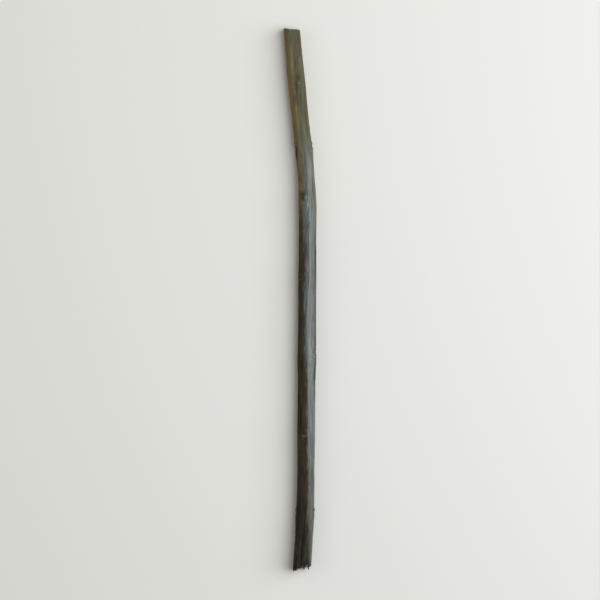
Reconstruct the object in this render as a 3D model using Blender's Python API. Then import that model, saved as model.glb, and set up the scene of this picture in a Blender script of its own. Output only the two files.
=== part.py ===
"""A miswak: a chewing stick cut from an olive twig, with its bark on, lying at rest.

Run it with blender --background --python part.py, or from Blender's text editor. Lengths are in
metres and angles in degrees. The stick lies along Y with its thick end, the one that was nearer the
tree, at -Y. Z is up and the stick rests on z = 0.

The stick starts as a plain round bar cut into rings. Every vertex is then moved to where the twig
has it: bent at its nodes, a little thicker at its base, four-cornered and ribbed between the nodes,
with a pair of leaf pads and bud stubs at each node and the flat where one side shoot was cut off.
"""

import math

import bmesh
import bpy
import numpy as np
from mathutils import Matrix

NAME = "stick"

# The driving dimensions of the twig.
LENGTH = 0.190
BASE_RADIUS = 0.00312
TIP_RADIUS = 0.00296
FLARE = 0.00024
FLARE_REACH = 0.0045

# How the twig wanders sideways: the slope of its first stretch, then at each kink the distance from
# the base, the change of slope and the length over which it turns.
BASE_SLOPE = 0.0594
KINKS = (
    (0.022, -0.052, 0.0040),
    (0.134, -0.1176, 0.0050),
    (0.172, 0.028, 0.0060),
)

# How the twig lies: on the leaf pads that point down, with its bark clear of the table between
# them. It arches a little between the outer two pads and rises towards its ends.
CLEARANCE = 0.00022
OUTER_RESTS = (0.047, 0.171)
ARCH = 0.00010
END_RISE = 0.00025
END_REACH = 0.030

# The nodes: distance from the base, direction of the leaf pair and size of its pads. A direction is
# counted from +X towards +Z, and the second leaf of a pair sits opposite the first.
NODES = (
    (0.0190, 8.0, 0.50),
    (0.0470, 100.0, 0.90),
    (0.0750, 43.0, 0.85),
    (0.1020, 133.0, 0.50),
    (0.1290, 112.0, 1.00),
    (0.1482, 168.0, 0.60),
    (0.1710, 72.0, 0.90),
)
SWELLING = 0.00015
SWELLING_REACH = 0.0050
PAD_HEIGHT = 0.00045
PAD_SPREAD = 21.0
PAD_ABOVE = 0.0006
PAD_BELOW = 0.0032
STUB_HEIGHT = 0.00042
STUB_SPREAD = 13.0
STUB_LENGTH = 0.0007
STUB_PLACE = 0.0018

# The flat left by the knife that took off a side shoot: distances from the base, and the depth of
# its plane below the plain bark at each. It deepens up the twig and ends in a lip.
SHOOT_DIRECTION = 168.0
SHOOT_HALF_WIDTH = 60.0
SHOOT_PLACES = (0.1398, 0.1484, 0.1490)
SHOOT_DEPTHS = (-0.00015, 0.00045, -0.00045)

# The cross-section between nodes: four soft corners that turn to follow the leaf pairs, and low ribs
# in the bark, which stand out most near the base.
CORNER = 0.00009
RIBS = 9
RIB_HEIGHT = 0.00006
RIB_TWIST = 260.0
RIB_SWAY = 25.0
RIB_SWAY_LENGTH = 0.088
RIB_FADE = 0.3
RIB_FADE_LENGTH = 0.065
BASE_RIBS_REACH = 0.025

# The cuts: how far each face leans sideways and upwards, as slopes, and how far in that is felt.
BASE_CUT = (0.22, 0.22)
TIP_CUT = (-0.07, -0.12)
CUT_REACH = 0.006
ROUNDED_RIM = 0.00025

# The rings of vertices along the stick, and the vertices round each.
SIDES = 36
COARSE_STEP = 0.0034
FINE_STEP = 0.0006
FINE_BELOW = 0.0033
FINE_ABOVE = 0.0033
FLAT_STEP = 0.0012

BARK_COLOUR = (0.058, 0.046, 0.030, 1.0)
BARK_ROUGHNESS = 0.55


def soft_ramp(distance, reach):
    """Zero before distance 0 and distance itself after it, rounded over the reach."""
    return reach * np.logaddexp(0.0, distance / reach)


def bell(distance, reach):
    """One at distance 0, falling smoothly to nothing a few reaches away on both sides."""
    return np.exp(-0.5 * (distance / reach) ** 2)


def lean(along):
    """How far the centre has moved sideways, towards +X, at this distance from the base."""
    sideways = BASE_SLOPE * along
    for place, turn, reach in KINKS:
        sideways = sideways + turn * soft_ramp(along - place, reach)
    return sideways


def lift(along):
    """How far the underside of the plain bark stands clear of the table."""
    low, high = OUTER_RESTS
    share = np.clip((along - low) / (high - low), 0.0, 1.0)
    beyond = np.maximum(0.0, np.maximum(low - along, along - high))
    return CLEARANCE + ARCH * np.sin(np.pi * share) ** 2 + END_RISE * (beyond / END_REACH) ** 2


def core_radius(along):
    """The radius of the plain twig: a slight taper and a flare at the base cut."""
    taper = BASE_RADIUS + (TIP_RADIUS - BASE_RADIUS) * along / LENGTH
    return taper + FLARE * np.exp(-along / FLARE_REACH)


def angle_apart(angle, direction):
    """The angle from a direction, from -180 to 180 degrees."""
    return (angle - direction + 180.0) % 360.0 - 180.0


def leaf_pad(along, angle, place, direction):
    """A leaf pad, steep above and running down the twig below, with the cut bud stub above it."""
    apart = angle_apart(angle, direction)
    distance = along - place
    reach = np.where(distance > 0.0, PAD_ABOVE, PAD_BELOW)
    pad = PAD_HEIGHT * bell(apart, PAD_SPREAD) * bell(distance, reach)
    return pad + STUB_HEIGHT * bell(apart, STUB_SPREAD) * bell(distance - STUB_PLACE, STUB_LENGTH)


def node_relief(along, angle):
    """All the nodes: the ring of swelling at each, and its two leaf pads."""
    relief = 0.0
    for place, direction, size in NODES:
        pair = sum(leaf_pad(along, angle, place, direction + side) for side in (0.0, 180.0))
        relief = relief + size * (SWELLING * bell(along - place, SWELLING_REACH) + pair)
    return relief


def corner_direction(along):
    """The direction of the section's corners, which turns from each node's leaf pair to the next."""
    places, directions, _ = zip(*NODES)
    return np.interp(along, places, np.unwrap(directions, period=90.0))


def section_relief(along, angle):
    """The four corners and the ribs, which wander a little and fade in and out along the twig."""
    corners = -CORNER * np.cos(np.radians(4.0 * (angle - corner_direction(along))))
    turn = RIB_TWIST * along + RIB_SWAY * np.sin(2.0 * math.pi * along / RIB_SWAY_LENGTH)
    fade = np.sin(2.0 * math.pi * along / RIB_FADE_LENGTH + np.radians(2.0 * angle))
    strength = 1.0 - RIB_FADE * (1.0 - fade) + np.exp(-along / BASE_RIBS_REACH)
    return corners + RIB_HEIGHT * strength * np.cos(np.radians(RIBS * angle + turn))


def cut_off_shoot(along, angle, radius):
    """The radius where it is no more than the distance of the knife's plane from the centre."""
    apart = np.minimum(np.abs(angle_apart(angle, SHOOT_DIRECTION)), SHOOT_HALF_WIDTH)
    depth = np.interp(along, SHOOT_PLACES, SHOOT_DEPTHS)
    plane = (core_radius(along) - depth) / np.cos(np.radians(apart))
    within = (along > SHOOT_PLACES[0]) & (along < SHOOT_PLACES[-1]) & (apart < SHOOT_HALF_WIDTH)
    return np.where(within, np.minimum(radius, plane), radius)


def twig_points(along, angle):
    """The surface points at these distances from the base and these angles round the stick."""
    radius = core_radius(along) + node_relief(along, angle) + section_relief(along, angle)
    radius = cut_off_shoot(along, angle, radius)
    to_end = np.minimum(along, LENGTH - along)
    radius = radius - np.maximum(0.0, ROUNDED_RIM - to_end)
    across = radius * np.cos(np.radians(angle))
    upward = radius * np.sin(np.radians(angle))
    height = core_radius(along) + lift(along) + upward
    base_share = np.maximum(0.0, 1.0 - along / CUT_REACH)
    tip_share = np.maximum(0.0, 1.0 - (LENGTH - along) / CUT_REACH)
    base_slant = base_share * (BASE_CUT[0] * across + BASE_CUT[1] * upward)
    tip_slant = tip_share * (TIP_CUT[0] * across + TIP_CUT[1] * upward)
    slanted = along + base_slant + tip_slant
    return np.stack([lean(along) + across, slanted, np.maximum(0.0, height)], axis=-1)


def stretch(start, end, step):
    """Places from start to end, about a step apart."""
    return list(np.linspace(start, end, max(1, round((end - start) / step)) + 1))


def ring_places():
    """Where the rings lie along the stick: close together at the nodes and at the knife's flat."""
    close = stretch(SHOOT_PLACES[0], SHOOT_PLACES[1] - FINE_BELOW - FLAT_STEP, FLAT_STEP)
    for place, _, _ in NODES:
        close += stretch(place - FINE_BELOW, place + FINE_ABOVE, FINE_STEP)
    ends = [0.0, ROUNDED_RIM, LENGTH - ROUNDED_RIM, LENGTH]
    wide = [
        place
        for place in stretch(0.0, LENGTH, COARSE_STEP)[1:-1]
        if min(abs(place - other) for other in close) > 0.6 * COARSE_STEP
    ]
    return sorted(ends + wide + close)


def round_bar():
    """A capped round bar along Y from 0 to LENGTH, cut into rings. Its angles count from +X."""
    bm = bmesh.new()
    bmesh.ops.create_cone(
        bm, cap_ends=True, segments=SIDES, radius1=BASE_RADIUS, radius2=BASE_RADIUS, depth=LENGTH
    )
    bmesh.ops.rotate(bm, verts=bm.verts, matrix=Matrix.Rotation(math.radians(-90.0), 3, "X"))
    bmesh.ops.translate(bm, verts=bm.verts, vec=(0.0, LENGTH / 2, 0.0))
    for place in ring_places()[1:-1]:
        bmesh.ops.bisect_plane(
            bm,
            geom=bm.verts[:] + bm.edges[:] + bm.faces[:],
            dist=1e-7,
            plane_co=(0.0, place, 0.0),
            plane_no=(0.0, 1.0, 0.0),
        )
    return bm


def shape_twig(bm):
    """Moves every vertex of the bar to its place on the twig."""
    across, along, upward = np.array([vertex.co for vertex in bm.verts]).T
    points = twig_points(along, np.degrees(np.arctan2(upward, across)))
    for vertex, point in zip(bm.verts, points):
        vertex.co = point


def centre_on_table(mesh):
    """Moves the mesh so that the middle of its underside's box is at the origin."""
    points = np.array([vertex.co for vertex in mesh.vertices])
    low, high = points.min(axis=0), points.max(axis=0)
    middle = (low + high) / 2
    mesh.transform(Matrix.Translation((-middle[0], -middle[1], -low[2])))


def bark_material():
    """Dark olive-brown bark with a dull sheen."""
    material = bpy.data.materials.new("olive_bark")
    material.use_nodes = True
    shader = material.node_tree.nodes["Principled BSDF"]
    shader.inputs["Base Color"].default_value = BARK_COLOUR
    shader.inputs["Roughness"].default_value = BARK_ROUGHNESS
    shader.inputs["Metallic"].default_value = 0.0
    return material


def main():
    for obj in list(bpy.data.objects):
        bpy.data.objects.remove(obj, do_unlink=True)
    collection = bpy.data.collections.new("miswak_stick")
    bpy.context.scene.collection.children.link(collection)

    bm = round_bar()
    shape_twig(bm)
    bmesh.ops.triangulate(bm, faces=[face for face in bm.faces if len(face.verts) > 4])
    bmesh.ops.recalc_face_normals(bm, faces=bm.faces)
    mesh = bpy.data.meshes.new(NAME)
    bm.to_mesh(mesh)
    bm.free()
    centre_on_table(mesh)
    mesh.shade_smooth()
    mesh.set_sharp_from_angle(angle=math.radians(40.0))
    mesh.materials.append(bark_material())
    collection.objects.link(bpy.data.objects.new(NAME, mesh))


main()
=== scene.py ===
# %% [markdown]
# # A miswak, cut from an olive twig
#
# A miswak is a chewing stick for cleaning the teeth. This one is a hand-long olive twig with its bark
# on: dark and ribbed near the thick end, satin in the middle, and matte olive and tan past the bend.
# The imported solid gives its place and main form. This lesson carries that form on to the fine surface:
# wrinkles, leaf scars, buds, pores, and the two cuts with their frayed fibres.

# %% The fixed frame
import math

import bpy
import numpy as np
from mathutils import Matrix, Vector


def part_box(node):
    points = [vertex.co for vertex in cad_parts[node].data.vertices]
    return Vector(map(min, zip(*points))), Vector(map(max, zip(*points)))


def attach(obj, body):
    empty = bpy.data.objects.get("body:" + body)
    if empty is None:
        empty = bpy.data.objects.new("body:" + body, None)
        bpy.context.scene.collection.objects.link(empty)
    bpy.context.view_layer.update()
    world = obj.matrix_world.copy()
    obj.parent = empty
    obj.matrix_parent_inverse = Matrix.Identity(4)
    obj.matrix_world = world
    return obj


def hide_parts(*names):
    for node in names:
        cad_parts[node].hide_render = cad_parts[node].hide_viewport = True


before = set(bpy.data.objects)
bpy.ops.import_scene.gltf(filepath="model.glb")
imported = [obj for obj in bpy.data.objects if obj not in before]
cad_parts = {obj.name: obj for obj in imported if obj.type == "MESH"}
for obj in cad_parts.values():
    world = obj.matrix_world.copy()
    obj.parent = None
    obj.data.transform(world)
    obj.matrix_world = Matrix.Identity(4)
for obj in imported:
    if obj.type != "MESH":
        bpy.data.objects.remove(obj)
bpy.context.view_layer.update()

MM = 0.001


def sides_in_mm(low, high):
    """The three sides of the box between two corners."""
    return [round((b - a) / MM, 1) for a, b in zip(low, high)]


stick_low, stick_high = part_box("stick")
print("the solid is", sides_in_mm(stick_low, stick_high), "mm")

# %% [markdown]
# ## The twig's main form
#
# A twig is a tube whose centre wanders and whose radius changes along it and round it. It could be a
# curve with a bevel, but that has one section all along, and here every node, rib and knife cut changes
# the section. So the twig is one function of two numbers: the distance along it from the thick end,
# and the angle from +X towards +Z. These are the values that the solid was built from.

# %% The twig's sizes, in metres and degrees
LENGTH = 0.190
BASE_RADIUS, TIP_RADIUS = 0.00312, 0.00296
FLARE = (0.00024, 0.0045)

# The sideways slope of the first stretch, then the place, change of slope and reach of each kink.
BASE_SLOPE = 0.0594
KINKS = (
    (0.022, -0.052, 0.0040),
    (0.134, -0.1176, 0.0050),
    (0.172, 0.028, 0.0060),
)

# How far the plain bark stands clear of the table, and where the outer leaf pads rest on it.
CLEARANCE, ARCH = 0.00022, 0.00010
OUTER_RESTS = (0.047, 0.171)
END_RISE, END_REACH = 0.00025, 0.030

# Place, direction and pad size of each node. The second leaf of a pair is opposite the first.
NODES = (
    (0.0190, 8.0, 0.50),
    (0.0470, 100.0, 0.90),
    (0.0750, 43.0, 0.85),
    (0.1020, 133.0, 0.50),
    (0.1290, 112.0, 1.00),
    (0.1482, 168.0, 0.60),
    (0.1710, 72.0, 0.90),
)
SWELLING, SWELLING_REACH = 0.00015, 0.0050
PAD_HEIGHT, PAD_SPREAD, PAD_ABOVE, PAD_BELOW = 0.00045, 21.0, 0.0006, 0.0032
STUB_HEIGHT, STUB_SPREAD, STUB_LENGTH, STUB_PLACE = 0.00042, 13.0, 0.0007, 0.0018

# The knife's flat: places along the twig and the plane's depth under the plain bark at each.
SHOOT_DIRECTION, SHOOT_HALF_WIDTH = 168.0, 60.0
SHOOT_PLACES = (0.1398, 0.1484, 0.1490)
SHOOT_DEPTHS = (-0.00015, 0.00045, -0.00045)

# Soft corners, and low ribs that twist by some degrees a metre, sway, fade and grow at the base.
CORNERS, CORNER_HEIGHT = 4, 0.00009
RIBS, RIB_HEIGHT, RIB_TWIST = 9, 0.00006, 260.0
RIB_SWAY, RIB_SWAY_LENGTH = 25.0, 0.088
RIB_FADE, RIB_FADE_LENGTH = 0.3, 0.065
BASE_RIBS = (1.0, 0.025)

# The slopes of the two cut faces, sideways and upwards, and how far from the ends they are felt.
BASE_CUT, TIP_CUT = (0.22, 0.22), (-0.07, -0.12)
CUT_REACH = 0.006
ROUNDED_RIM = 0.00025


# %% Shapes that the formulas share
def bell(distance, reach):
    """One at distance 0, falling smoothly to nothing a few reaches away on both sides."""
    return np.exp(-0.5 * (distance / reach) ** 2)


def step(low, high, value):
    """Zero at low, one at high, and an S-curve between them. low may be the larger of the two."""
    share = np.clip((value - low) / (high - low), 0.0, 1.0)
    return share * share * (3.0 - 2.0 * share)


def fading(distance, height, reach):
    """The height at distance 0, falling exponentially with the reach."""
    return height * np.exp(-distance / reach)


def soft_ramp(distance, reach):
    """Zero before distance 0 and distance itself after it, rounded over the reach."""
    return reach * np.logaddexp(0.0, distance / reach)


def angle_apart(angle, direction):
    """The angle from a direction, from -180 to 180 degrees."""
    return (angle - direction + 180.0) % 360.0 - 180.0


def on_section(radius, angle):
    """The place across and upwards of a point at this radius and angle."""
    return radius * np.cos(np.radians(angle)), radius * np.sin(np.radians(angle))


# %% Centre line and plain radius
def lean(along):
    """The centre's place in X: a slope that changes at each kink, as a rounded corner."""
    sideways = BASE_SLOPE * along
    for place, turn, reach in KINKS:
        sideways = sideways + turn * soft_ramp(along - place, reach)
    return sideways


def lift(along):
    """The height of the plain underside: low at the outer rests, arched between, rising outside."""
    low, high = OUTER_RESTS
    share = np.clip((along - low) / (high - low), 0.0, 1.0)
    beyond = np.maximum(0.0, np.maximum(low - along, along - high))
    return CLEARANCE + ARCH * np.sin(np.pi * share) ** 2 + END_RISE * (beyond / END_REACH) ** 2


def core_radius(along):
    """A straight taper with a flare that dies away from the base cut."""
    taper = BASE_RADIUS + (TIP_RADIUS - BASE_RADIUS) * along / LENGTH
    return taper + fading(along, *FLARE)


# %% [markdown]
# Olive leaves grow in opposite pairs. Each leaves a raised pad that runs down the twig below it, and a
# bud sits just above. Between the nodes the young twig is a little four-cornered.

# %% Nodes, corners and ribs
def leaf_pad(along, angle, place, direction):
    """The pad is a bell, steep above its place and long below; the bud stub is a small bell above."""
    apart = angle_apart(angle, direction)
    distance = along - place
    reach = np.where(distance > 0.0, PAD_ABOVE, PAD_BELOW)
    pad = PAD_HEIGHT * bell(apart, PAD_SPREAD) * bell(distance, reach)
    return pad + STUB_HEIGHT * bell(apart, STUB_SPREAD) * bell(distance - STUB_PLACE, STUB_LENGTH)


def node_relief(along, angle):
    """The sum over the nodes of a ring of swelling and two pads."""
    relief = 0.0
    for place, direction, size in NODES:
        pair = sum(leaf_pad(along, angle, place, direction + side) for side in (0.0, 180.0))
        relief = relief + size * (SWELLING * bell(along - place, SWELLING_REACH) + pair)
    return relief


def rib_wave(along, angle):
    """A cosine with nine crests round the twig, whose crests twist and sway along it."""
    turn = RIB_TWIST * along + RIB_SWAY * np.sin(math.tau * along / RIB_SWAY_LENGTH)
    return np.cos(np.radians(RIBS * angle + turn))


def section_relief(along, angle):
    """A cosine whose four crests lie between the leaves, plus the ribs, which come and go."""
    places, directions, _ = zip(*NODES)
    leaf_direction = np.interp(along, places, np.unwrap(directions, period=360.0 / CORNERS))
    corners = -CORNER_HEIGHT * np.cos(np.radians(CORNERS * (angle - leaf_direction)))
    fade = np.sin(math.tau * along / RIB_FADE_LENGTH + np.radians(2.0 * angle))
    strength = 1.0 - RIB_FADE * (1.0 - fade) + fading(along, *BASE_RIBS)
    return corners + RIB_HEIGHT * strength * rib_wave(along, angle)


# %% The knife's flat, where a side shoot was cut off
def knife_plane(along, angle):
    """The distance from the centre to the knife's plane, infinite where the knife didn't go.

    It is the distance to the plane's middle divided by the cosine of the angle from there.
    """
    apart = np.minimum(np.abs(angle_apart(angle, SHOOT_DIRECTION)), SHOOT_HALF_WIDTH)
    depth = np.interp(along, SHOOT_PLACES, SHOOT_DEPTHS)
    plane = (core_radius(along) - depth) / np.cos(np.radians(apart))
    within = (along > SHOOT_PLACES[0]) & (along < SHOOT_PLACES[-1]) & (apart < SHOOT_HALF_WIDTH)
    return np.where(within, plane, np.inf)


# %% [markdown]
# ## The grid
#
# The fine surface is a closed grid: rows along the twig, each with the same number of points round it.
# Sculpting could carve the same detail, but on a grid each feature is a formula with a place. At both
# ends the rows go on over the cut face and shrink towards its middle. Bark features are long and
# narrow, so points lie closer round the twig than along it, and rows crowd at the nodes and the ends:
# numpy adds up a density along the twig and reads off equal shares of the sum.

# %% Rows and directions
SIDES, SIDE_ROWS, CAP_ROWS = 144, 646, 22
INNERMOST = 0.02
CROWDED, CROWDED_REACH = 1.5, 0.0026
END_CROWDED, END_CROWDED_REACH = 2.0, 0.0015
SAMPLES = 4001

fine = np.linspace(0.0, LENGTH, SAMPLES)
crowded_places = [place for place, _, _ in NODES] + [SHOOT_PLACES[0]]
density = 1.0 + CROWDED * sum(bell(fine - place, CROWDED_REACH) for place in crowded_places)
density = density + END_CROWDED * bell(np.minimum(fine, LENGTH - fine), END_CROWDED_REACH)
total = np.concatenate([[0.0], np.cumsum((density[1:] + density[:-1]) / 2.0)])
side_places = np.interp(np.linspace(0.0, total[-1], SIDE_ROWS), total, fine)

inward = np.linspace(1.0, INNERMOST, CAP_ROWS + 1)[1:]
row_along = np.pad(side_places, CAP_ROWS, "edge")
row_shrink = np.concatenate([inward[::-1], np.ones(SIDE_ROWS), inward])
along = row_along[:, None]
shrink = row_shrink[:, None]
angle = (np.arange(SIDES) * 360.0 / SIDES)[None, :]
core = core_radius(along)
from_end = np.minimum(along, LENGTH - along)
ROWS = len(row_along)
no_mask = np.zeros((ROWS, SIDES))
print(ROWS, "rows of", SIDES, "points")

# %% [markdown]
# ## Bark relief
#
# Drying draws the bark into wrinkles that run along the twig: broad soft folds, then creases between
# them, then finer ones. A displace modifier with a stretched texture could do this, but it wouldn't
# close round the twig. So the noise is worked out on a lattice whose last column is its first.

# %% Noise that closes round the twig
NOISE_GAIN, SPARE_CELLS = 1.6, 4


def bark_noise(along, angle, cells_round, cell_length, seed):
    """Gradient noise, from about -1 to 1, on a lattice that starts one cell before the thick end.

    Each corner of the lattice has a random direction. A point takes its offset from each of the four
    corners round it along that corner's direction, and blends the four with S-curves.
    """
    rows = int(LENGTH / cell_length) + SPARE_CELLS
    turns = np.random.default_rng(seed).uniform(0.0, math.tau, (rows, cells_round))
    u, v = np.broadcast_arrays(angle / 360.0 * cells_round, along / cell_length + 1.0)
    column, row = np.floor(u).astype(int), np.floor(v).astype(int)
    u, v = u - column, v - row

    def corner(right, up):
        turn = turns[(row + up) % rows, (column + right) % cells_round]
        return np.cos(turn) * (u - right) + np.sin(turn) * (v - up)

    across, upward = step(0.0, 1.0, u), step(0.0, 1.0, v)
    lower = corner(0, 0) * (1.0 - across) + corner(1, 0) * across
    upper = corner(0, 1) * (1.0 - across) + corner(1, 1) * across
    return NOISE_GAIN * (lower * (1.0 - upward) + upper * upward)


# %% Folds and creases
# A noise has its number of cells round the twig, their length and a seed. The drift, in degrees, makes
# all the lines wander together.
DRIFT, DRIFT_NOISE = 14.0, (5, 0.024, 11)
FOLD_HEIGHT, FOLD_NOISE = 0.00008, (13, 0.015, 12)

# Creases have a depth, a noise, a width as a height of it, and a second noise with the two limits
# between which their patches begin.
DEEP_CREASE, DEEP_LINES = 0.00016, ((17, 0.011, 13), 0.36, (6, 0.017, 14), (-0.35, 0.25))
FINE_CREASE, FINE_LINES = 0.00008, ((34, 0.0055, 15), 0.52, (9, 0.008, 16), (-0.40, 0.20))
CREASE_POWER = 1.5

# The bark is wrinkled everywhere, more towards the thick end, and more at both cuts.
WRINKLED, BASE_WRINKLED, ENDS_WRINKLED = 0.60, (0.50, 0.030), (0.4, 0.003)

drift = angle + DRIFT * bark_noise(along, angle, *DRIFT_NOISE)
folds = bark_noise(along, drift, *FOLD_NOISE)


def patchy_creases(noise, width, patches, limits):
    """Lines along the zeros of one noise, times an S-curve of the noise that gives the patches.

    They are one at a zero, and a power of a straight fall to nothing where the noise is this high.
    """
    lines = np.clip(1.0 - np.abs(bark_noise(along, drift, *noise)) / width, 0.0, 1.0) ** CREASE_POWER
    return lines * step(*limits, bark_noise(along, angle, *patches))


deep, thin = patchy_creases(*DEEP_LINES), patchy_creases(*FINE_LINES)
wrinkled = WRINKLED + fading(along, *BASE_WRINKLED) + fading(from_end, *ENDS_WRINKLED)
wrinkles = FOLD_HEIGHT * folds - DEEP_CREASE * deep - FINE_CREASE * thin
print("the wrinkles span", round(np.ptp(wrinkles) / MM, 3), "mm")

# %% Splits that run up from the thick end
# The direction of each split at the cut, and its length. It narrows away over its last part.
SPLITS = ((66.0, 0.0075), (97.0, 0.0120), (128.0, 0.0060), (30.0, 0.0045), (214.0, 0.0070))
SPLIT_TWIST = 500.0
SPLIT_WIDTH, SPLIT_DEPTH, SPLIT_FULL = 0.00013, 0.00016, 0.3

split = no_mask.copy()
for direction, reach in SPLITS:
    off = np.radians(angle_apart(angle, direction + SPLIT_TWIST * along)) * core
    split = np.maximum(split, bell(off, SPLIT_WIDTH) * step(reach, SPLIT_FULL * reach, along))
print(len(SPLITS), "splits")

# %% [markdown]
# ## Leaf scars, buds and pores
#
# On top of each pad is the leaf's scar: a shallow half-moon with a low rim and, in its middle, the
# crescent of the one vein that fed the leaf. The bud above it has a seam between its two scales, and
# dirt has gathered above some buds. One bud grew into the shoot that the knife took off. All over the
# bark are lenticels, the corky pores that a young twig breathes through. These could be copies of small
# meshes, but those wouldn't grow out of the bark. So each is a mask on the grid, from 0 to 1, that
# moves the surface here and colours it later.

# %% Leaf scars and buds
# The scar's half-moon is straight at the top, where it is squeezed this many times. A small node has
# a smaller and fainter scar. The rim's place and width are shares of the half-moon.
SCAR_LONG, SCAR_WIDE, SCAR_DEPTH = 0.00072, 0.00080, 0.00007
SQUEEZED_TOP = 2.6
SMALL_SCAR, FAINT_SCAR = 0.72, 0.35
RIM_PLACE, RIM_WIDTH, RIM_HEIGHT = 1.10, 0.15, 0.00006

# The crescent is the lower part of a circle with this middle and radius.
VEIN_MIDDLE, VEIN_RADIUS, VEIN_FADE = 0.00018, 0.00042, 0.00020
VEIN_WIDTH, VEIN_HEIGHT = 0.00010, 0.00003

BUD_LONG, BUD_WIDE, BUD_HEIGHT = 0.00085, 0.00060, 0.00014
SEAM_WIDTH, SEAM_DEPTH = 0.00009, 0.00009
STAIN_WIDE, STAIN_START, STAIN_END = 0.00050, (0.0002, 0.0010), (0.0052, 0.0025)
STAINS = (0.1, 0.3, 0.15, 0.2, 1.0, 0.3, 0.3)

scar, scar_rim, vein, bud, bud_seam, stain = (no_mask.copy() for _ in range(6))
for (place, direction, size), dirt in zip(NODES, STAINS):
    for side in (0.0, 180.0):
        if direction + side == SHOOT_DIRECTION:
            continue
        up = along - place
        out = np.radians(angle_apart(angle, direction + side)) * core
        room = SMALL_SCAR + (1.0 - SMALL_SCAR) * size
        strength = FAINT_SCAR + (1.0 - FAINT_SCAR) * size
        squeezed = np.where(up > 0.0, up * SQUEEZED_TOP, up)
        moon = np.hypot(squeezed / SCAR_LONG, out / SCAR_WIDE) / room
        scar = np.maximum(scar, step(1.0, 0.75, moon) * strength)
        scar_rim = np.maximum(scar_rim, bell(moon - RIM_PLACE, RIM_WIDTH))
        crescent = bell(np.hypot(up - VEIN_MIDDLE, out) - VEIN_RADIUS, VEIN_WIDTH)
        vein = np.maximum(vein, crescent * step(0.0, -VEIN_FADE, up) * scar)
        scale = np.hypot((up - STUB_PLACE) / BUD_LONG, out / BUD_WIDE) / room
        bud = np.maximum(bud, step(1.15, 0.55, scale))
        bud_seam = np.maximum(bud_seam, bell(out, SEAM_WIDTH) * step(1.0, 0.7, scale))
        streak = bell(out, STAIN_WIDE) * step(*STAIN_START, up) * step(*STAIN_END, up)
        stain = np.maximum(stain, dirt * streak)
scar_relief = RIM_HEIGHT * scar_rim - SCAR_DEPTH * scar + VEIN_HEIGHT * vein
bud_relief = BUD_HEIGHT * bud - SEAM_DEPTH * bud_seam
at_node = np.clip(scar + bud + scar_rim, 0.0, 1.0)
print(len(NODES) * 2 - 1, "leaf scars with their buds")

# %% Lenticels
LENTICELS, PORE_HEIGHT, PORE_REACH = 260, 0.00007, 0.75

# The limits of a lenticel's place, direction and half-width, and how many times it is stretched.
PORE_LIMITS = ((0.002, LENGTH - 0.002), (0.0, 360.0), (0.00012, 0.00023), (1.2, 2.6))

random = np.random.default_rng(5)
pores = [random.uniform(low, high, LENTICELS) for low, high in PORE_LIMITS]
lenticel = no_mask.copy()
for place, direction, size, stretch in zip(*pores):
    rows = np.abs(row_along - place) < 3.0 * size * stretch
    up = (along[rows] - place) / (size * stretch)
    out = np.radians(angle_apart(angle, direction)) * BASE_RADIUS / size
    lenticel[rows] = np.maximum(lenticel[rows], bell(np.hypot(up, out), PORE_REACH))
lenticel = lenticel * (1.0 - at_node)
print(LENTICELS, "lenticels")

# %% [markdown]
# ## From relief to surface
#
# All the relief adds up to one radius for each grid point. The knife's plane then takes off whatever
# stands beyond it. A Boolean could cut the flat too, but here how deep the knife went is kept, because
# it gives the cut its colour: bark, then pale inner bark, then wood.

# %% The radius everywhere
SMOOTHED_AT_NODES = 0.7
CHIP_HEIGHT, CHIP_NOISE = 0.00005, (26, 0.0024, 21)

plain_radius = core + node_relief(along, angle) + section_relief(along, angle)
bark_relief = wrinkled * wrinkles * (1.0 - SMOOTHED_AT_NODES * at_node) + scar_relief + bud_relief
bark_radius = plain_radius + bark_relief + PORE_HEIGHT * lenticel - SPLIT_DEPTH * split

chips = CHIP_HEIGHT * bark_noise(along, angle, *CHIP_NOISE)
radius = np.minimum(bark_radius, knife_plane(along, angle) + chips)
knife_depth = bark_radius - radius
print("the knife went", round(knife_depth.max() / MM, 2), "mm deep")

# %% [markdown]
# ## The two cuts
#
# The stick was nipped off its branch with shears at a slant. The blade leaves faint ridges across the
# end grain, and the last strip tears instead: it stands out beyond a jagged step. A Boolean with a
# rough cutter could make such a face, but it would lose track of what is bark and what is wood. Here
# the rows shrink to the middle, and relief moves them along the twig: that step, the ridges, drying
# cracks, a hollow pith and slivers of tough bark round the rim. At the thick end the slivers are long,
# so between them the cut lies deeper than the solid's.

# %% Where each point lies on its cut face
FACE_SPAN = 0.020
RAY_NOISE = (44, 0.003, 31)

# Height, width and seed of the bundles of each size.
BUNDLES = ((0.5, 0.00075, 34), (0.7, 0.00036, 35))

# Towards the middle each row gets rounder, so that the pith isn't ribbed.
inner = shrink * (core + (radius - core) * shrink)
rim_depth = radius - inner
at_base = along < LENGTH / 2.0
on_face = (row_shrink < 1.0)[:, None]


def face_noise(cell, seed):
    """The same noise laid flat over both cut faces, in square cells of this size."""
    across, upward = on_section(inner, angle)
    return bark_noise(upward + along, across / FACE_SPAN * 360.0, round(FACE_SPAN / cell), cell, seed)


# Wood grows in bundles of fibres, and in rays that run out from the pith.
bundles = sum(height * face_noise(cell, seed) for height, cell, seed in BUNDLES)
ray = bark_noise(along, angle, *RAY_NOISE)

# %% The torn strip, the blade's ridges and the cracks
# The strip starts this far from the middle in this direction, at a step with this half-width.
TORN_START, TORN_DIRECTION, TORN_STEP, TORN_JAGS = 0.0013, 165.0, 0.00007, 0.00060
BLADE_SPACING, BLADE_WOBBLE = 0.00046, 1.5

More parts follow.
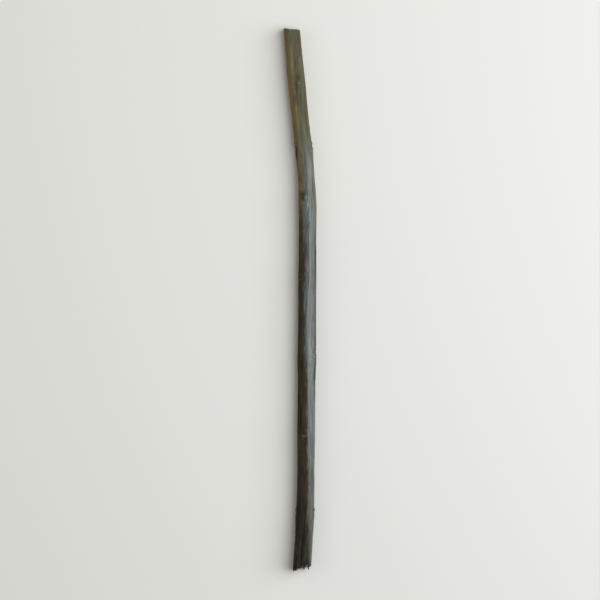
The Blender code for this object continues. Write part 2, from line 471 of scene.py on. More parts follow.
# Direction and length of each crack. It sways, opens fully over its inner part, and at the tip all
# are turned on.
CRACKS = ((42.0, 0.0026), (201.0, 0.0017), (96.0, 0.0011))
CRACK_WIDTH, CRACK_FULL, TIP_TURN = 0.000045, 0.5, 75.0
CRACK_SWAY, CRACK_SWAY_LENGTH = 9.0, 0.0005

across_step = inner * np.cos(np.radians(angle - TORN_DIRECTION))
torn_strip = step(-TORN_STEP, TORN_STEP, across_step - TORN_START + TORN_JAGS * bundles)
blade = np.sin(math.tau * across_step / BLADE_SPACING + BLADE_WOBBLE * bundles) * (1.0 - torn_strip)
crack = no_mask.copy()
for direction, reach in CRACKS:
    turned = direction + np.where(at_base, 0.0, TIP_TURN)
    turned = turned + CRACK_SWAY * np.sin(inner / CRACK_SWAY_LENGTH)
    off = np.radians(angle_apart(angle, turned)) * inner
    crack = np.maximum(crack, bell(off, CRACK_WIDTH) * step(reach, CRACK_FULL * reach, inner))
crack = crack * on_face
print(len(CRACKS), "cracks")

# %% The ragged rim
BASE_RAGGED, TIP_RAGGED = 0.00013, 0.00006
RAGGED_NOISES = ((1.0, (11, 0.02, 32)), (0.8, (37, 0.02, 33)))

# Direction, half-width in degrees and length of each sliver at the thick end. Its outline is a
# triangle to the power of the bluntness.
SLIVERS = (
    (71.0, 7.0, 0.00080),
    (33.0, 6.0, 0.00090),
    (101.0, 9.0, 0.00060),
    (141.0, 17.0, 0.00045),
    (198.0, 24.0, 0.00030),
    (236.0, 13.0, 0.00025),
    (284.0, 6.0, 0.00095),
    (319.0, 7.0, 0.00110),
    (335.0, 48.0, 0.00035),
)
SLIVER_BLUNTNESS = 0.8

torn = sum(height * bark_noise(along, angle, *noise) for height, noise in RAGGED_NOISES)
torn = torn * np.where(at_base, BASE_RAGGED, TIP_RAGGED)
for direction, spread, reach in SLIVERS:
    share = np.clip(1.0 - np.abs(angle_apart(angle, direction)) / spread, 0.0, 1.0)
    torn = torn + reach * share ** SLIVER_BLUNTNESS * at_base

# %% How far each point moves outwards
# The wood is set back from the rim of bark, and the strip stands out beyond it.
BARK_THICKNESS, SET_BACK = 0.00050, 0.00010
BASE_TORN, TIP_TORN, TORN_REACH = 0.00042, 0.00016, 0.0005

# What the thick end lost between its slivers, and how far up the bark gives way for it.
BASE_LOSS, LOSS_REACH = 0.00072, 0.0020

SMOOTH_GRAIN, TORN_GRAIN, BLADE_RIDGE = 0.00002, 0.00008, 0.000022
RAY_HEIGHT, RAY_START = 0.00002, 0.0012
CRACK_DEPTH, PITH_RADIUS, PITH_DEPTH = 0.00022, 0.00034, 0.00012

proud = step(BARK_THICKNESS * 1.4, BARK_THICKNESS * 0.7, rim_depth)
torn_out = np.where(at_base, BASE_TORN, TIP_TORN) * torn_strip
grain = (SMOOTH_GRAIN + TORN_GRAIN * torn_strip) * bundles + BLADE_RIDGE * blade
grain = grain + RAY_HEIGHT * ray * step(0.0, RAY_START, inner)
hollows = CRACK_DEPTH * crack + PITH_DEPTH * step(PITH_RADIUS, 0.6 * PITH_RADIUS, inner)
face_relief = grain - SET_BACK + (SET_BACK + torn) * proud - hollows + torn_out

loss = BASE_LOSS * at_base
edge_relief = fading(from_end, torn + torn_out, TORN_REACH) - fading(from_end, loss, LOSS_REACH)
outwards = np.where(at_base, -1.0, 1.0) * np.where(on_face, face_relief - loss, edge_relief)
print("the thick end's relief spans", round(np.ptp(outwards[:CAP_ROWS]) / MM, 2), "mm")


# %% The surface points
def place_on_twig(along, angle, radius, outwards=0.0):
    """Points on the bent twig as it lies: their place on the section is laid off from its centre.

    Near each end they slide along the twig in proportion to that place, which slants the cut. No
    point goes under the table.
    """
    across, upward = on_section(radius, angle)
    slanted = along
    for distance, (sideways, up) in ((along, BASE_CUT), (LENGTH - along, TIP_CUT)):
        share = np.maximum(0.0, 1.0 - distance / CUT_REACH)
        slanted = slanted + share * (sideways * across + up * upward)
    height = core_radius(along) + lift(along) + upward
    return np.stack([lean(along) + across, slanted + outwards, np.maximum(0.0, height)], axis=-1)


# The fine surface is centred where the solid is, and keeps this share of its rounded rim.
KEPT_ROUNDING = 0.6

rounded = np.maximum(0.0, ROUNDED_RIM - from_end)
solid_radius = np.minimum(plain_radius, knife_plane(along, angle)) - rounded
solid_points = place_on_twig(along, angle, shrink * solid_radius).reshape(-1, 3)
solid_middle = (solid_points.min(axis=0) + solid_points.max(axis=0)) / 2.0
shift = (np.array(stick_low) + np.array(stick_high)) / 2.0 - solid_middle
shift[2] = 0.0
surface = place_on_twig(along, angle, inner - KEPT_ROUNDING * rounded * shrink, outwards) + shift
print("moved by", (shift / MM).round(2), "mm")

# %% [markdown]
# ## The mesh
#
# Four neighbouring grid points make a face, and a fan closes each end at its middle. The unrolled bark
# is ten times as long as it is wide. Blender could unwrap it along seams, but the grid already says
# where each point belongs: on one of three strips of bark side by side, or on one of two discs above
# them. That fills the square at an even scale.

# %% Faces of the closed grid
def closed_grid_faces(rows, sides):
    """Each quad's four corners as rows and as columns, facing outwards. The last column is sides."""
    row, column = np.indices((rows - 1, sides)).reshape(2, -1, 1)
    return row + [0, 1, 1, 0], column + [0, 0, 1, 1]


def end_fans(rows, sides):
    """Triangles that close both ends of a grid at two middle points, which follow the grid's points."""
    near, last = np.arange(sides), (rows - 1) * sides
    following = (near + 1) % sides
    middle = np.full(sides, rows * sides)
    first_fan = np.stack([middle, near, following], axis=1)
    return first_fan, np.stack([middle + 1, last + following, last + near], axis=1)


quad_rows, quad_columns = closed_grid_faces(ROWS, SIDES)
quads = quad_rows * SIDES + quad_columns % SIDES
base_fan, tip_fan = end_fans(ROWS, SIDES)
middles = np.stack([surface[0].mean(axis=0), surface[-1].mean(axis=0)])
points = np.concatenate([surface.reshape(-1, 3), middles])

# %% The UV map, worked out in millimetres on a square
SQUARE, DISC_RADIUS = 66.0, 2.4
STRIPS, STRIP_GAP, STRIP_WIDTH = 3, 0.5, 19.4
DISC_PLACES = (8.0, 20.0)

strip_ends = np.linspace(0, SIDE_ROWS - 1, STRIPS + 1).round().astype(int) + CAP_ROWS
strip_ends[1:-1] = np.searchsorted(row_along, LENGTH * np.arange(1, STRIPS) / STRIPS)


def strip_uv(rows, columns):
    """Distance along the strip in U and the turn round the twig in V, strip above strip."""
    strip = np.searchsorted(strip_ends, rows.min(axis=1), side="right") - 1
    strip = np.clip(strip, 0, STRIPS - 1)[:, None]
    u = STRIP_GAP + (row_along[rows] - row_along[strip_ends[strip]]) / MM
    v = STRIP_GAP + strip * (STRIP_WIDTH + STRIP_GAP) + columns / SIDES * STRIP_WIDTH
    return np.stack([u, v], axis=-1) / SQUARE


def disc_uv(shares, columns, centre):
    """A cut face as a disc round its centre. shares is each corner's share of the radius."""
    turn = math.tau * columns / SIDES
    disc = np.stack([np.cos(turn), np.sin(turn)], axis=-1) * shares[..., None] * DISC_RADIUS
    return (np.array(centre) + disc) / SQUARE


disc_height = STRIP_GAP / 2.0 + STRIPS * (STRIP_WIDTH + STRIP_GAP) + DISC_RADIUS + STRIP_GAP
base_disc, tip_disc = ((place, disc_height) for place in DISC_PLACES)
on_base = quad_rows[:, 0] < CAP_ROWS
on_tip = quad_rows[:, 0] >= CAP_ROWS + SIDE_ROWS - 1
quad_uv = strip_uv(quad_rows, quad_columns)
for end, centre in ((on_base, base_disc), (on_tip, tip_disc)):
    quad_uv[end] = disc_uv(row_shrink[quad_rows[end]], quad_columns[end], centre)
fan_columns, fan_shares = np.arange(SIDES)[:, None], np.array([0.0, INNERMOST, INNERMOST])
base_uv = disc_uv(fan_shares, fan_columns + [0, 0, 1], base_disc)
tip_uv = disc_uv(fan_shares, fan_columns + [0, 1, 0], tip_disc)
print("the map reaches", quad_uv.reshape(-1, 2).max(axis=0).round(3))


# %% Putting it in a mesh
def build_mesh(name, points, face_lists, sharp_angle=50.0):
    """A smooth-shaded object at the origin, from an array of points and arrays of faces."""
    mesh = bpy.data.meshes.new(name)
    mesh.from_pydata(points.tolist(), [], [face for faces in face_lists for face in faces.tolist()])
    mesh.shade_smooth()
    mesh.set_sharp_from_angle(angle=math.radians(sharp_angle))
    piece = bpy.data.objects.new(name, mesh)
    bpy.context.scene.collection.objects.link(piece)
    return piece


def keep_values(mesh, name, values, kind="FLOAT", field="value"):
    """Keeps one number or vector a vertex, for a material to read by this name."""
    kept = mesh.attributes.new(name, kind, "POINT")
    kept.data.foreach_set(field, np.ravel(values).astype(np.float32))


twig = build_mesh("olive_twig", points, [quads, base_fan, tip_fan])
uv_map = twig.data.uv_layers.new(name="OFBake")
all_uv = np.concatenate([part.reshape(-1, 2) for part in (quad_uv, base_uv, tip_uv)])
uv_map.data.foreach_set("uv", all_uv.ravel().astype(np.float32))
print("the twig has", 2 * len(quads) + 2 * SIDES, "triangles")

# %% [markdown]
# ## Key-lit side and shaded side
#
# The side of the twig that faces the key light is painted lighter, and the side away from it darker:
# painted highlight and painted shade. From the first node to the bend the lit side is silver-green and
# the other dark brown. The edge between them could be painted by hand, but a table of its direction at
# a few places, with a noise on it, says the same.

# %% Painted light and shade across the twig
# The direction of the key-lit side's left edge at some places along the twig. The lit side is some
# degrees wide, fades over a feather, and both its edges wander by noises of so many degrees.
KEY_LIT_PLACES = (0.000, 0.012, 0.026, 0.066, 0.084, 0.130, 0.141, 0.152, 0.190)
KEY_LIT_EDGES = (36.0, 54.0, 68.0, 97.0, 108.0, 112.0, 107.0, 104.0, 110.0)
KEY_LIT_WIDTH, KEY_LIT_FEATHER = 83.0, 32.0
KEY_LIT_WANDERS = ((16.0, (9, 0.014, 51)), (9.0, (30, 0.008, 52)))

key_lit_edge = np.interp(along, KEY_LIT_PLACES, KEY_LIT_EDGES)
from_middle = np.abs(angle_apart(angle, key_lit_edge - KEY_LIT_WIDTH / 2.0))
wander = sum(degrees * bark_noise(along, angle, *noise) for degrees, noise in KEY_LIT_WANDERS)
# Painted light and shade: one on the side that faces the key light, nothing on the side away from it.
key_lit = step(KEY_LIT_FEATHER, -KEY_LIT_FEATHER, from_middle - KEY_LIT_WIDTH / 2.0 + wander)
print("the sunny side is", round(100.0 * key_lit.mean()), "per cent of the bark")


# %% What the materials will read
def with_middles(values):
    """The values on the grid, then each end's middle as the mean of the row round it."""
    values = np.broadcast_to(values, (ROWS, SIDES))
    return np.concatenate([values.ravel(), [values[0].mean(), values[-1].mean()]])


across, upward = on_section(inner, angle)
straight = np.stack([with_middles(part) for part in (across, along, upward)], axis=-1)
keep_values(twig.data, "straight", straight, "FLOAT_VECTOR", "vector")
masks = dict(
    key_lit=key_lit,
    crease=np.clip(deep + 0.6 * thin, 0.0, 1.0) * (1.0 - at_node),
    split=split,
    rib=rib_wave(along, angle) * fading(along, *BASE_RIBS),
    fold=folds,
    scar=scar,
    scar_rim=scar_rim,
    vein=vein,
    bud=bud,
    stain=stain,
    lenticel=lenticel,
    crack=crack,
    bundle=bundles + 0.5 * ray + 0.3 * blade,
    torn=torn_strip,
    cut_depth=np.where(on_face, rim_depth, knife_depth) / MM,
)
for name, values in masks.items():
    keep_values(twig.data, name, with_middles(values))
print("the materials can read", *masks)

# %% [markdown]
# ## Finishes
#
# Materials in Blender are networks of nodes. Wiring them by hand in code hides the idea, so two small
# helpers let a finish be written as sums.

# %% Shader helpers
class Wire:
    """A value on its way through the network. +, - and * on it add Math nodes."""

    def __init__(self, finish, socket):
        self.finish = finish
        self.socket = socket

    def math(self, operation, first, second):
        return self.finish.node("Math", {"operation": operation}, {0: first, 1: second})

    def __add__(self, other):
        return self.math("ADD", self, other)

    def __sub__(self, other):
        return self.math("SUBTRACT", self, other)

    def __rsub__(self, other):
        return self.math("SUBTRACT", other, self)

    def __mul__(self, other):
        return self.math("MULTIPLY", self, other)

    __radd__ = __add__
    __rmul__ = __mul__


class Finish:
    """A material under construction, with its Principled shader at hand."""

    def __init__(self, name):
        self.material = bpy.data.materials.new(name)
        self.material.use_nodes = True
        self.tree = self.material.node_tree
        self.shader = self.tree.nodes["Principled BSDF"]

    def node(self, kind, settings, inputs, output=0):
        """Adds a node, makes its settings and fills its sockets with values or wires."""
        made = self.tree.nodes.new("ShaderNode" + kind)
        for name, value in settings.items():
            setattr(made, name, value)
        for socket, value in inputs.items():
            self.fill(made.inputs[socket], value)
        return Wire(self, made.outputs[output])

    def fill(self, socket, value):
        """Links a wire to the socket, or sets the socket's own value."""
        if isinstance(value, Wire):
            self.tree.links.new(value.socket, socket)
        else:
            socket.default_value = value

    def wear(self, sockets):
        """Fills the shader's own sockets by name."""
        for name, value in sockets.items():
            self.fill(self.shader.inputs[name], value)

    def mask(self, name):
        """A number kept on the mesh."""
        return self.node("Attribute", {"attribute_name": name}, {}, output=2)

    def twig_place(self, stretch=(1.0, 1.0, 1.0)):
        """The place on the straightened twig, in metres, scaled by stretch in X, Y and Z."""
        place = self.node("Attribute", {"attribute_name": "straight"}, {}, output=1)
        return self.node("VectorMath", {"operation": "MULTIPLY"}, {0: place, 1: stretch})

    def noise(self, across, lengthwise, detail=3.0):
        """Noise from 0 to 1 with so many cells a metre across the straightened twig and along it."""
        place = self.twig_place((across, lengthwise, across))
        return self.node("TexNoise", {}, {"Vector": place, "Scale": 1.0, "Detail": detail})

    def step(self, low, high, value):
        """An S-curve from 0 at low to 1 at high."""
        settings = {"interpolation_type": "SMOOTHSTEP"}
        return self.node("MapRange", settings, {0: value, 1: low, 2: high})

    def mix(self, share, first, second):
        """A colour: the first at share 0, the second at share 1."""
        return self.node("Mix", {"data_type": "RGBA"}, {0: share, 6: first, 7: second}, output=2)

    def shade(self, colour, amount):
        """The colour made lighter or darker: each channel times the amount."""
        return self.node("VectorMath", {"operation": "SCALE"}, {0: colour, 3: amount})


def colour(code):
    """A colour written as six hexadecimal digits, as the linear values that a shader takes."""
    shares = [int(code[i : i + 2], 16) / 255.0 for i in (0, 2, 4)]
    linear = [s / 12.92 if s <= 0.04045 else ((s + 0.055) / 1.055) ** 2.4 for s in shares]
    return (*linear, 1.0)


# %% [markdown]
# ## Bark
#
# Across the twig the colours are painted light and shade: up to the bend the side facing the key light
# is lighter and the side away from it darker. Each side's colour also changes along the twig: dark grey
# or almost black at the thick end, silver-green or dark brown in the middle, and olive or tan towards
# the tip, where the bark has dried matte. The lit side's edge breaks up into long flakes, so it is a
# soft mask cut off by a noise. Creases and splits are darkened as painted shade, worn folds greyer, and
# pores and leaf scars paler. All this could be painted on an image, but noises on the straightened twig
# have no seam and stay sharp from close by. The numbers below are limits on masks and noises from 0 to
# 1, and factors on a colour.

# %% The bark's colours
# The key-lit colours and the shaded colours paint light and shade across the twig.
KEY_LIT_BASE, KEY_LIT_MIDDLE, KEY_LIT_TIP = map(colour, ("464641", "525b58", "5a5744"))
SHADED_BASE, SHADED_MIDDLE, SHADED_TIP = map(colour, ("1d1a0d", "33280f", "796946"))
RUST, WORN, PORE_CORK = map(colour, ("4c3822", "6d6b5c", "7b6c4e"))
BUD_SCALES, SCAR_CORK = map(colour, ("3b2c1d", "81785d"))
UNDER_SKIN, PALE_INNER_BARK, BARED_WOOD = map(colour, ("46371f", "7d6b42", "44331d"))

# %% Colours along each side
# Between which places each change happens, in metres from the thick end.
PAST_BASE, PAST_BEND, DRIED = (0.012, 0.060), (0.138, 0.156), (0.112, 0.136)
BLOTCHES = 0.012

bark = Finish("olive_bark")
streaks = bark.noise(1700.0, 55.0)
hairlines = bark.noise(6500.0, 170.0, detail=2.0)
clouds = bark.noise(170.0, 45.0)
specks = bark.noise(4200.0, 2600.0, detail=2.0)
flakes = bark.noise(2300.0, 330.0, detail=5.0)
distance = bark.node("SeparateXYZ", {}, {0: bark.twig_place()}, output=1)
distance = distance + BLOTCHES * (clouds - 0.5)
past_base = bark.step(*PAST_BASE, distance)
past_bend = bark.step(*PAST_BEND, distance)
dried = bark.step(*DRIED, distance)

# Painted light and shade: the key-lit colours on the side facing the key light, the shaded colours on
# the side away from it.
key_lit_middle = bark.mix(past_base, KEY_LIT_BASE, KEY_LIT_MIDDLE)
shaded_middle = bark.mix(past_base, SHADED_BASE, SHADED_MIDDLE)
key_lit_side = bark.mix(past_bend, key_lit_middle, KEY_LIT_TIP)
shaded_side = bark.mix(dried, shaded_middle, SHADED_TIP)
key_lit_share = bark.step(0.30, 0.70, bark.mask("key_lit") + 1.4 * (flakes - 0.5))
lit_and_shaded = bark.mix(key_lit_share, shaded_side, key_lit_side)

# %% Wear, scars, buds and pores
rust = bark.step(0.50, 0.60, clouds + 0.5 * (flakes - 0.5)) * (0.10 + 0.16 * past_base)
rusty = bark.mix(rust, lit_and_shaded, RUST)
worn = bark.step(0.0, 0.5, bark.mask("fold")) * bark.step(0.54, 0.60, flakes)
greyed = bark.mix(worn * 0.22, rusty, WORN)
pore = bark.step(0.35, 0.75, bark.mask("lenticel")) * (0.15 + 0.22 * past_base)
pored = bark.mix(pore, greyed, PORE_CORK)
budded = bark.mix(bark.mask("bud") * 0.55, pored, BUD_SCALES)
scarred = bark.mix(bark.mask("scar") * (0.10 + 0.50 * flakes), budded, SCAR_CORK)

# %% Fine lines, creases and dirt
satin = bark.mask("key_lit") * (1.0 - past_bend)
plainer = (1.0 - 0.35 * satin - 0.45 * past_bend) * (1.0 - 0.8 * bark.mask("scar"))
cracked = bark.shade(scarred, 1.0 - 0.45 * plainer * bark.step(0.56, 0.62, hairlines))
lined = bark.shade(cracked, (0.62 + 0.90 * streaks) * (0.80 + 0.50 * specks))
# Lighter on the rib crests, as wear, and darker in the grooves between them, as painted shade.
ribbed = bark.shade(lined, 1.0 + 0.28 * bark.mask("rib"))
# Painted shade: creases and splits are darkened.
crease_shaded = bark.shade(ribbed, 1.0 - 0.62 * plainer * bark.mask("crease"))
split_shaded = bark.shade(crease_shaded, 1.0 - 0.7 * bark.mask("split"))
dirt = bark.mask("stain") * bark.step(0.30, 0.50, streaks + 0.4 * bark.mask("stain"))
stained = bark.shade(split_shaded, 1.0 - 0.6 * dirt)
rimmed = bark.shade(stained, 1.0 - 0.35 * bark.mask("scar_rim"))
veined = bark.shade(rimmed, 1.0 - 0.6 * bark.mask("vein"))

# %% Where the knife went in
# How deep each layer starts, in millimetres, from its first traces to its full colour.
CUT_STARTS, INNER_BARK_STARTS, WOOD_STARTS = (0.010, 0.035), (0.03, 0.10), (0.13, 0.26)

depth = bark.mask("cut_depth") + 0.36 * (streaks - 0.5) + 0.30 * (hairlines - 0.5)
under_skin = bark.mix(bark.step(*INNER_BARK_STARTS, depth), UNDER_SKIN, PALE_INNER_BARK)
shaved_wood = bark.mix(bark.step(*WOOD_STARTS, depth), under_skin, BARED_WOOD)
shaved_grain = (0.55 + 0.80 * streaks) * (1.0 - 0.4 * bark.step(0.50, 0.62, hairlines))
shaved = bark.shade(shaved_wood, shaved_grain)
cut_here = bark.step(*CUT_STARTS, bark.mask("cut_depth"))
bark_colour = bark.mix(cut_here, veined, shaved)

# %% Sheen and fine grain
matte = 0.52 - 0.10 * satin + past_bend * 0.20 + 0.14 * streaks
duller = matte + bark.mask("crease") * 0.14 + bark.mask("scar") * 0.15
roughness = duller + bark.mask("lenticel") * 0.12 + cut_here * 0.15
fine_lines = bark.noise(7000.0, 420.0)
height = fine_lines + flakes + 0.4 * specks - 0.5 * bark.step(0.54, 0.62, hairlines)
height = height * (1.0 - 0.7 * bark.mask("scar"))
bump = bark.node("Bump", {}, {"Strength": 0.8, "Distance": 0.00012, "Height": height})
bark.wear({"Base Color": bark_colour, "Roughness": roughness, "Normal": bump})
bark.wear({"Coat Weight": satin * (0.50 + 0.50 * past_base), "Coat Roughness": 0.34})
bark.wear({"Specular IOR Level": 0.25})
print("the bark finish has", len(bark.tree.nodes), "nodes")

# %% [markdown]
# ## Cut wood
#
# On the cut faces the depth from the rim gives the layers: a dark line of outer bark, browner inner
# bark, weathered brown wood with faint year rings and rays, and a soft pith. A wave texture could draw
# the rings, but those would be round, and these follow the rim. The blade left the face smooth and
# stained, and the torn strip is rougher and cleaner.

# %% The wood's colours and layers
WOOD, YEAR_RING, WEATHERED = map(colour, ("5c4c2f", "3a2c1b", "382a19"))
TORN_WOOD, INNER_BARK, OUTER_BARK, PITH = map(colour, ("6b5a36", "3f2d1b", "211a12", "4a3823"))

# How far in from the rim each layer starts, in millimetres. The rings are a sine of that depth.
INNER_BARK_AT, WOOD_AT, PITH_AT = (0.06, 0.14), (0.30, 0.40), (2.74, 2.84)
RING_RADIANS, RING_WOBBLE = 8.6, 1.6

# %% End grain
wood = Finish("cut_olive_wood")
depth = wood.mask("cut_depth")
pores = wood.noise(16000.0, 16000.0, detail=2.0)
stains = wood.noise(900.0, 900.0)
outward = wood.node("VectorMath", {"operation": "NORMALIZE"}, {0: wood.twig_place((1.0, 0.0, 1.0))})
rays = wood.node("TexNoise", {}, {"Vector": outward, "Scale": 22.0, "Detail": 3.0})
bundle = wood.step(-0.8, 0.8, wood.mask("bundle"))
ring_phase = depth * RING_RADIANS + stains * RING_WOBBLE
rings = wood.node("Math", {"operation": "SINE"}, {0: ring_phase})
grown = wood.mix(wood.step(0.40, 1.0, rings) * 0.55, WOOD, YEAR_RING)
browned = wood.mix(wood.step(0.40, 0.62, stains) * 0.7, grown, WEATHERED)
fresh = wood.mix(wood.mask("torn") * 0.45, browned, TORN_WOOD)
inner_bark = wood.mix(wood.step(*WOOD_AT, depth + 0.3 * (pores - 0.5)), INNER_BARK, fresh)
outer_bark = wood.mix(wood.step(*INNER_BARK_AT, depth), OUTER_BARK, inner_bark)
pith = wood.mix(wood.step(*PITH_AT, depth), outer_bark, PITH)
# Painted shade: the drying cracks are darkened.
cracked = wood.shade(pith, 1.0 - 0.8 * wood.mask("crack"))
# Painted shade: darker where the cut face's relief is low, lighter where it stands out.
relief_shaded = wood.shade(cracked, 0.65 + 0.40 * bundle)
rayed = wood.shade(relief_shaded, 1.05 - 0.30 * wood.step(0.48, 0.60, rays))
soiled = wood.shade(rayed, 1.05 - 0.45 * wood.step(0.54, 0.64, pores))
height = pores + 1.2 * rays
bump = wood.node("Bump", {}, {"Strength": 0.8, "Distance": 0.00008, "Height": height})
wood.wear({"Base Color": soiled, "Roughness": 0.70 + 0.15 * pores, "Normal": bump})
print("the cut wood finish has", len(wood.tree.nodes), "nodes")

# %% The twig wears both
twig.data.materials.append(bark.material)
twig.data.materials.append(wood.material)
wears_wood = np.concatenate([on_base | on_tip, np.ones(2 * SIDES, bool)])
twig.data.polygons.foreach_set("material_index", wears_wood.astype(np.int32))
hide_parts("stick")
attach(twig, "root")
print(wears_wood.sum(), "faces are cut wood")

# %% [markdown]
# ## Frayed fibres
#
# Shears tear the last fibres instead of slicing them, and that fringe is the start of the brush that
# a miswak is chewed into. The fibres stand in tufts on the torn strip and just inside the bark. Hair
# curves would be quick to comb, but they have no mesh to hand on, so each fibre is a thin tapered tube
# on a bent path.

# %% Fibres as one mesh
FIBRE_RINGS, FIBRE_SIDES = 7, 6
FLATTENED = 0.55
THINNED, THINNING_POWER = 0.67, 1.5
NO_FIBRE_WAY = np.array([0.31, 0.17, 0.94])


def fibre_mesh(name, starts, ways, lengths, widths, bends):
    """Tapered tubes, closed at both ends by a fan.

    The path is start + way * length * t + bend * length * t * t, for t from 0 to 1. The radius falls
    from half the width to a sixth of it at the tip, and the section is flattened.
    """
    t = np.linspace(0.0, 1.0, FIBRE_RINGS)[None, :, None]
    size = lengths[:, None, None]
    path = starts[:, None, :] + ways[:, None, :] * t * size + bends[:, None, :] * t * t * size
    first = np.cross(ways, NO_FIBRE_WAY)
    first = first / np.linalg.norm(first, axis=1, keepdims=True)
    second = np.cross(ways, first) * FLATTENED
    turn = (np.arange(FIBRE_SIDES) * math.tau / FIBRE_SIDES)[None, None, :, None]
    round_it = first[:, None, None, :] * np.cos(turn) + second[:, None, None, :] * np.sin(turn)
    thickness = widths[:, None, None, None] / 2.0 * (1.0 - THINNED * t[..., None] ** THINNING_POWER)
    rings = path[:, :, None, :] + round_it * thickness

    a_fibre = FIBRE_RINGS * FIBRE_SIDES
    points = np.concatenate([rings.reshape(-1, a_fibre, 3), path[:, [0, -1]]], axis=1)
    rows, columns = closed_grid_faces(FIBRE_RINGS, FIBRE_SIDES)
    tube = rows * FIBRE_SIDES + columns % FIBRE_SIDES
    parts = (tube, *end_fans(FIBRE_RINGS, FIBRE_SIDES))
    first_points = (np.arange(len(starts)) * (a_fibre + 2))[:, None, None]
    faces = [(part[None] + first_points).reshape(-1, part.shape[1]) for part in parts]
    return build_mesh(name, points.reshape(-1, 3), faces, sharp_angle=80.0)


# %% How the fibres of a tuft differ
FIBRES_A_TUFT, INSIDE_BARK, ROOTED = 6, 0.81, 0.00025
TUFT_LEAN, FIBRE_LEAN = 0.20, 0.10
DIRECTION_STRAY, SHARE_STRAY = 3.0, 0.03
SHORTEST, SMALL_TUFT, LENGTH_SHARES = 0.00040, 0.10, (0.3, 1.0)
FIBRE_WIDTHS = (0.00004, 0.00010)
BEND, BEND_BY_AXIS = 0.30, np.array([1.0, 0.2, 0.8])


def frayed_end(name, along_end, outwards, tuft_places, longest, seed):
    """Tufts of fibres on a cut face.

    tuft_places gives each tuft's direction, share of the radius and size. A tuft shares one lean,
    and each fibre strays a little from it in place, lean, length and bend.
    """
    draw = np.random.default_rng(seed)
    direction, share, size = np.repeat(tuft_places, FIBRES_A_TUFT, axis=0).T
    count = len(size)
    tuft_leans = draw.normal(0.0, TUFT_LEAN, (len(tuft_places), 2)).repeat(FIBRES_A_TUFT, axis=0)
    direction = direction + draw.normal(0.0, DIRECTION_STRAY, count) / share
    share = np.minimum(INSIDE_BARK, share + draw.normal(0.0, SHARE_STRAY, count))
    end = np.full(count, along_end)
    starts = place_on_twig(end, direction, core_radius(end) * share) + shift
    starts[:, 1] -= outwards * (SET_BACK + ROOTED + BASE_LOSS * (outwards < 0.0))
    leans = tuft_leans + draw.normal(0.0, FIBRE_LEAN, (count, 2))
    ways = np.stack([leans[:, 0], np.full(count, outwards), leans[:, 1]], axis=1)
    ways = ways / np.linalg.norm(ways, axis=1, keepdims=True)
    lengths = SHORTEST + (SMALL_TUFT + size) * draw.uniform(*LENGTH_SHARES, count) * longest
    widths = draw.uniform(*FIBRE_WIDTHS, count)
    bends = draw.normal(0.0, BEND, (count, 3)) * BEND_BY_AXIS
    return fibre_mesh(name, starts, ways, lengths, widths, bends)


# %% Where the tufts stand
RIM_SHARES, TORN_SHARES, TORN_SPREAD = (0.76, 0.88), (0.48, 0.84), 28.0
SIZE_POWER = 1.6
LONG_TUFTS = ((57.0, 0.86, 1.7), (52.0, 0.84, 1.5))
BASE_LONGEST, TIP_LONGEST = 0.00085, 0.00040


def tuft_spread(on_rim, on_torn, seed):
    """Tufts all round the rim and on the torn strip: direction, share of the radius and size.

    The sizes run from 0 to 1. Their power makes most tufts small.
    """
    draw = np.random.default_rng(seed)
    rim = [draw.uniform(0.0, 360.0, on_rim), draw.uniform(*RIM_SHARES, on_rim)]
    torn_directions = TORN_DIRECTION + draw.normal(0.0, TORN_SPREAD, on_torn)
    strip = [torn_directions, draw.uniform(*TORN_SHARES, on_torn)]
    sizes = draw.uniform(0.0, 1.0, on_rim + on_torn) ** SIZE_POWER
    return np.vstack([np.concatenate([rim, strip], axis=1), sizes]).T


base_tufts = np.concatenate([tuft_spread(on_rim=13, on_torn=20, seed=40), LONG_TUFTS])
tip_tufts = tuft_spread(on_rim=8, on_torn=12, seed=44)
fringes = (
    frayed_end("base_fibres", 0.0, -1.0, base_tufts, BASE_LONGEST, seed=41),
    frayed_end("tip_fibres", LENGTH, 1.0, tip_tufts, TIP_LONGEST, seed=42),
)
for fringe in fringes:
    print(fringe.name, "has", len(fringe.data.polygons), "faces")

# %% [markdown]
# The fibres are the paler wood from inside. Each could have a tint of its own, but fibres of a tuft
# look alike, so the tint comes from a noise that is a little wider than a tuft.

# %% Fibre finish
DARK_STRAW, PALE_STRAW = map(colour, ("574529", "958358"))
TINTS_A_METRE = 1100.0

straw = Finish("torn_fibre")
position = straw.node("TexCoord", {}, {}, output=3)
tint = straw.node("TexNoise", {}, {"Vector": position, "Scale": TINTS_A_METRE, "Detail": 1.0})
straw_colour = straw.mix(straw.step(0.46, 0.64, tint), DARK_STRAW, PALE_STRAW)
straw.wear({"Base Color": straw_colour, "Roughness": 0.65 + 0.15 * tint})
for fringe in fringes:
    fringe.data.materials.append(straw.material)
    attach(fringe, "root")
print("the fibre finish has", len(straw.tree.nodes), "nodes")

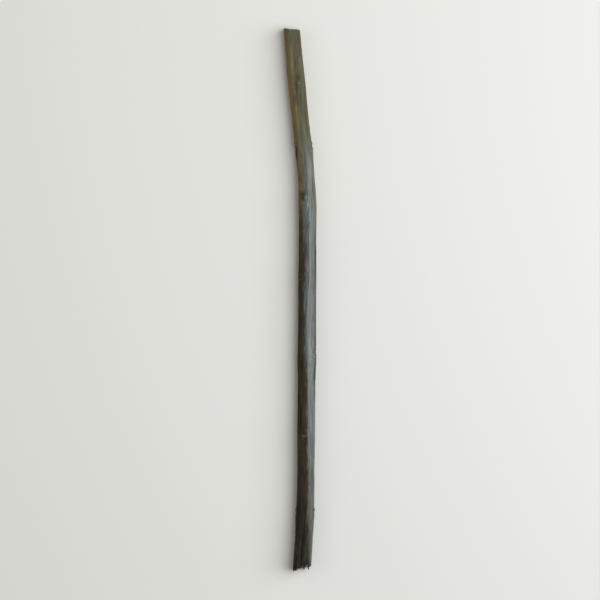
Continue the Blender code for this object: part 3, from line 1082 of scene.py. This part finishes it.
# %% [markdown]
# ## Floor, light and camera
#
# The stick lies on a plain pale floor. A lamp or the sun would give it a hard shadow and a thin glint.
# So a large soft panel high on the right draws the satin band along it, and a weak warm one keeps its
# dark left side readable. The camera looks straight down through a long lens.

# %% Floor and world
FLOOR_HALF = 3.0

floor_corners = np.array([(-1, -1, 0), (1, -1, 0), (1, 1, 0), (-1, 1, 0)]) * FLOOR_HALF
floor = build_mesh("floor", floor_corners, [np.array([[0, 1, 2, 3]])])
paper = Finish("pale_floor")
paper.wear({"Base Color": colour("e6e5e1"), "Roughness": 0.9})
floor.data.materials.append(paper.material)

scene = bpy.context.scene
world = bpy.data.worlds.new("studio")
world.use_nodes = True
sky = world.node_tree.nodes["Background"]
sky.inputs["Color"].default_value = (1.0, 0.97, 0.92, 1.0)
sky.inputs["Strength"].default_value = 0.30
scene.world = world
scene.view_settings.view_transform = "Standard"
print("the floor is", 2.0 * FLOOR_HALF, "m wide")


# %% Lights
def soft_panel(name, place, width, length, power, tint):
    """A rectangular light at a place, turned to face the Y axis, with its length along Y."""
    light = bpy.data.lights.new(name, "AREA")
    light.shape = "RECTANGLE"
    light.size, light.size_y = width, length
    light.energy = power
    light.color = tint
    panel = bpy.data.objects.new(name, light)
    panel.location = place
    panel.rotation_euler = (0.0, math.atan2(place[0], place[2]), 0.0)
    panel.visible_camera = False
    scene.collection.objects.link(panel)
    print(name, "gives", power, "W")


soft_panel("key", (0.50, 0.12, 0.56), width=0.96, length=0.70, power=7.0, tint=(0.95, 0.99, 1.0))
soft_panel("fill", (-0.70, 0.10, 0.60), width=0.50, length=0.60, power=0.8, tint=(1.0, 0.97, 0.92))

# %% Camera
VIEW_WIDTH = 0.212
LENS, SENSOR = 200.0, 36.0

camera_data = bpy.data.cameras.new("camera")
camera_data.lens, camera_data.sensor_width = LENS, SENSOR
camera_data.clip_start, camera_data.clip_end = 0.01, 20.0
camera = bpy.data.objects.new("camera", camera_data)
camera.location = (0.0, 0.0, VIEW_WIDTH * LENS / SENSOR)
scene.collection.objects.link(camera)
scene.camera = camera
print("the camera sees", round(VIEW_WIDTH / MM), "mm across")
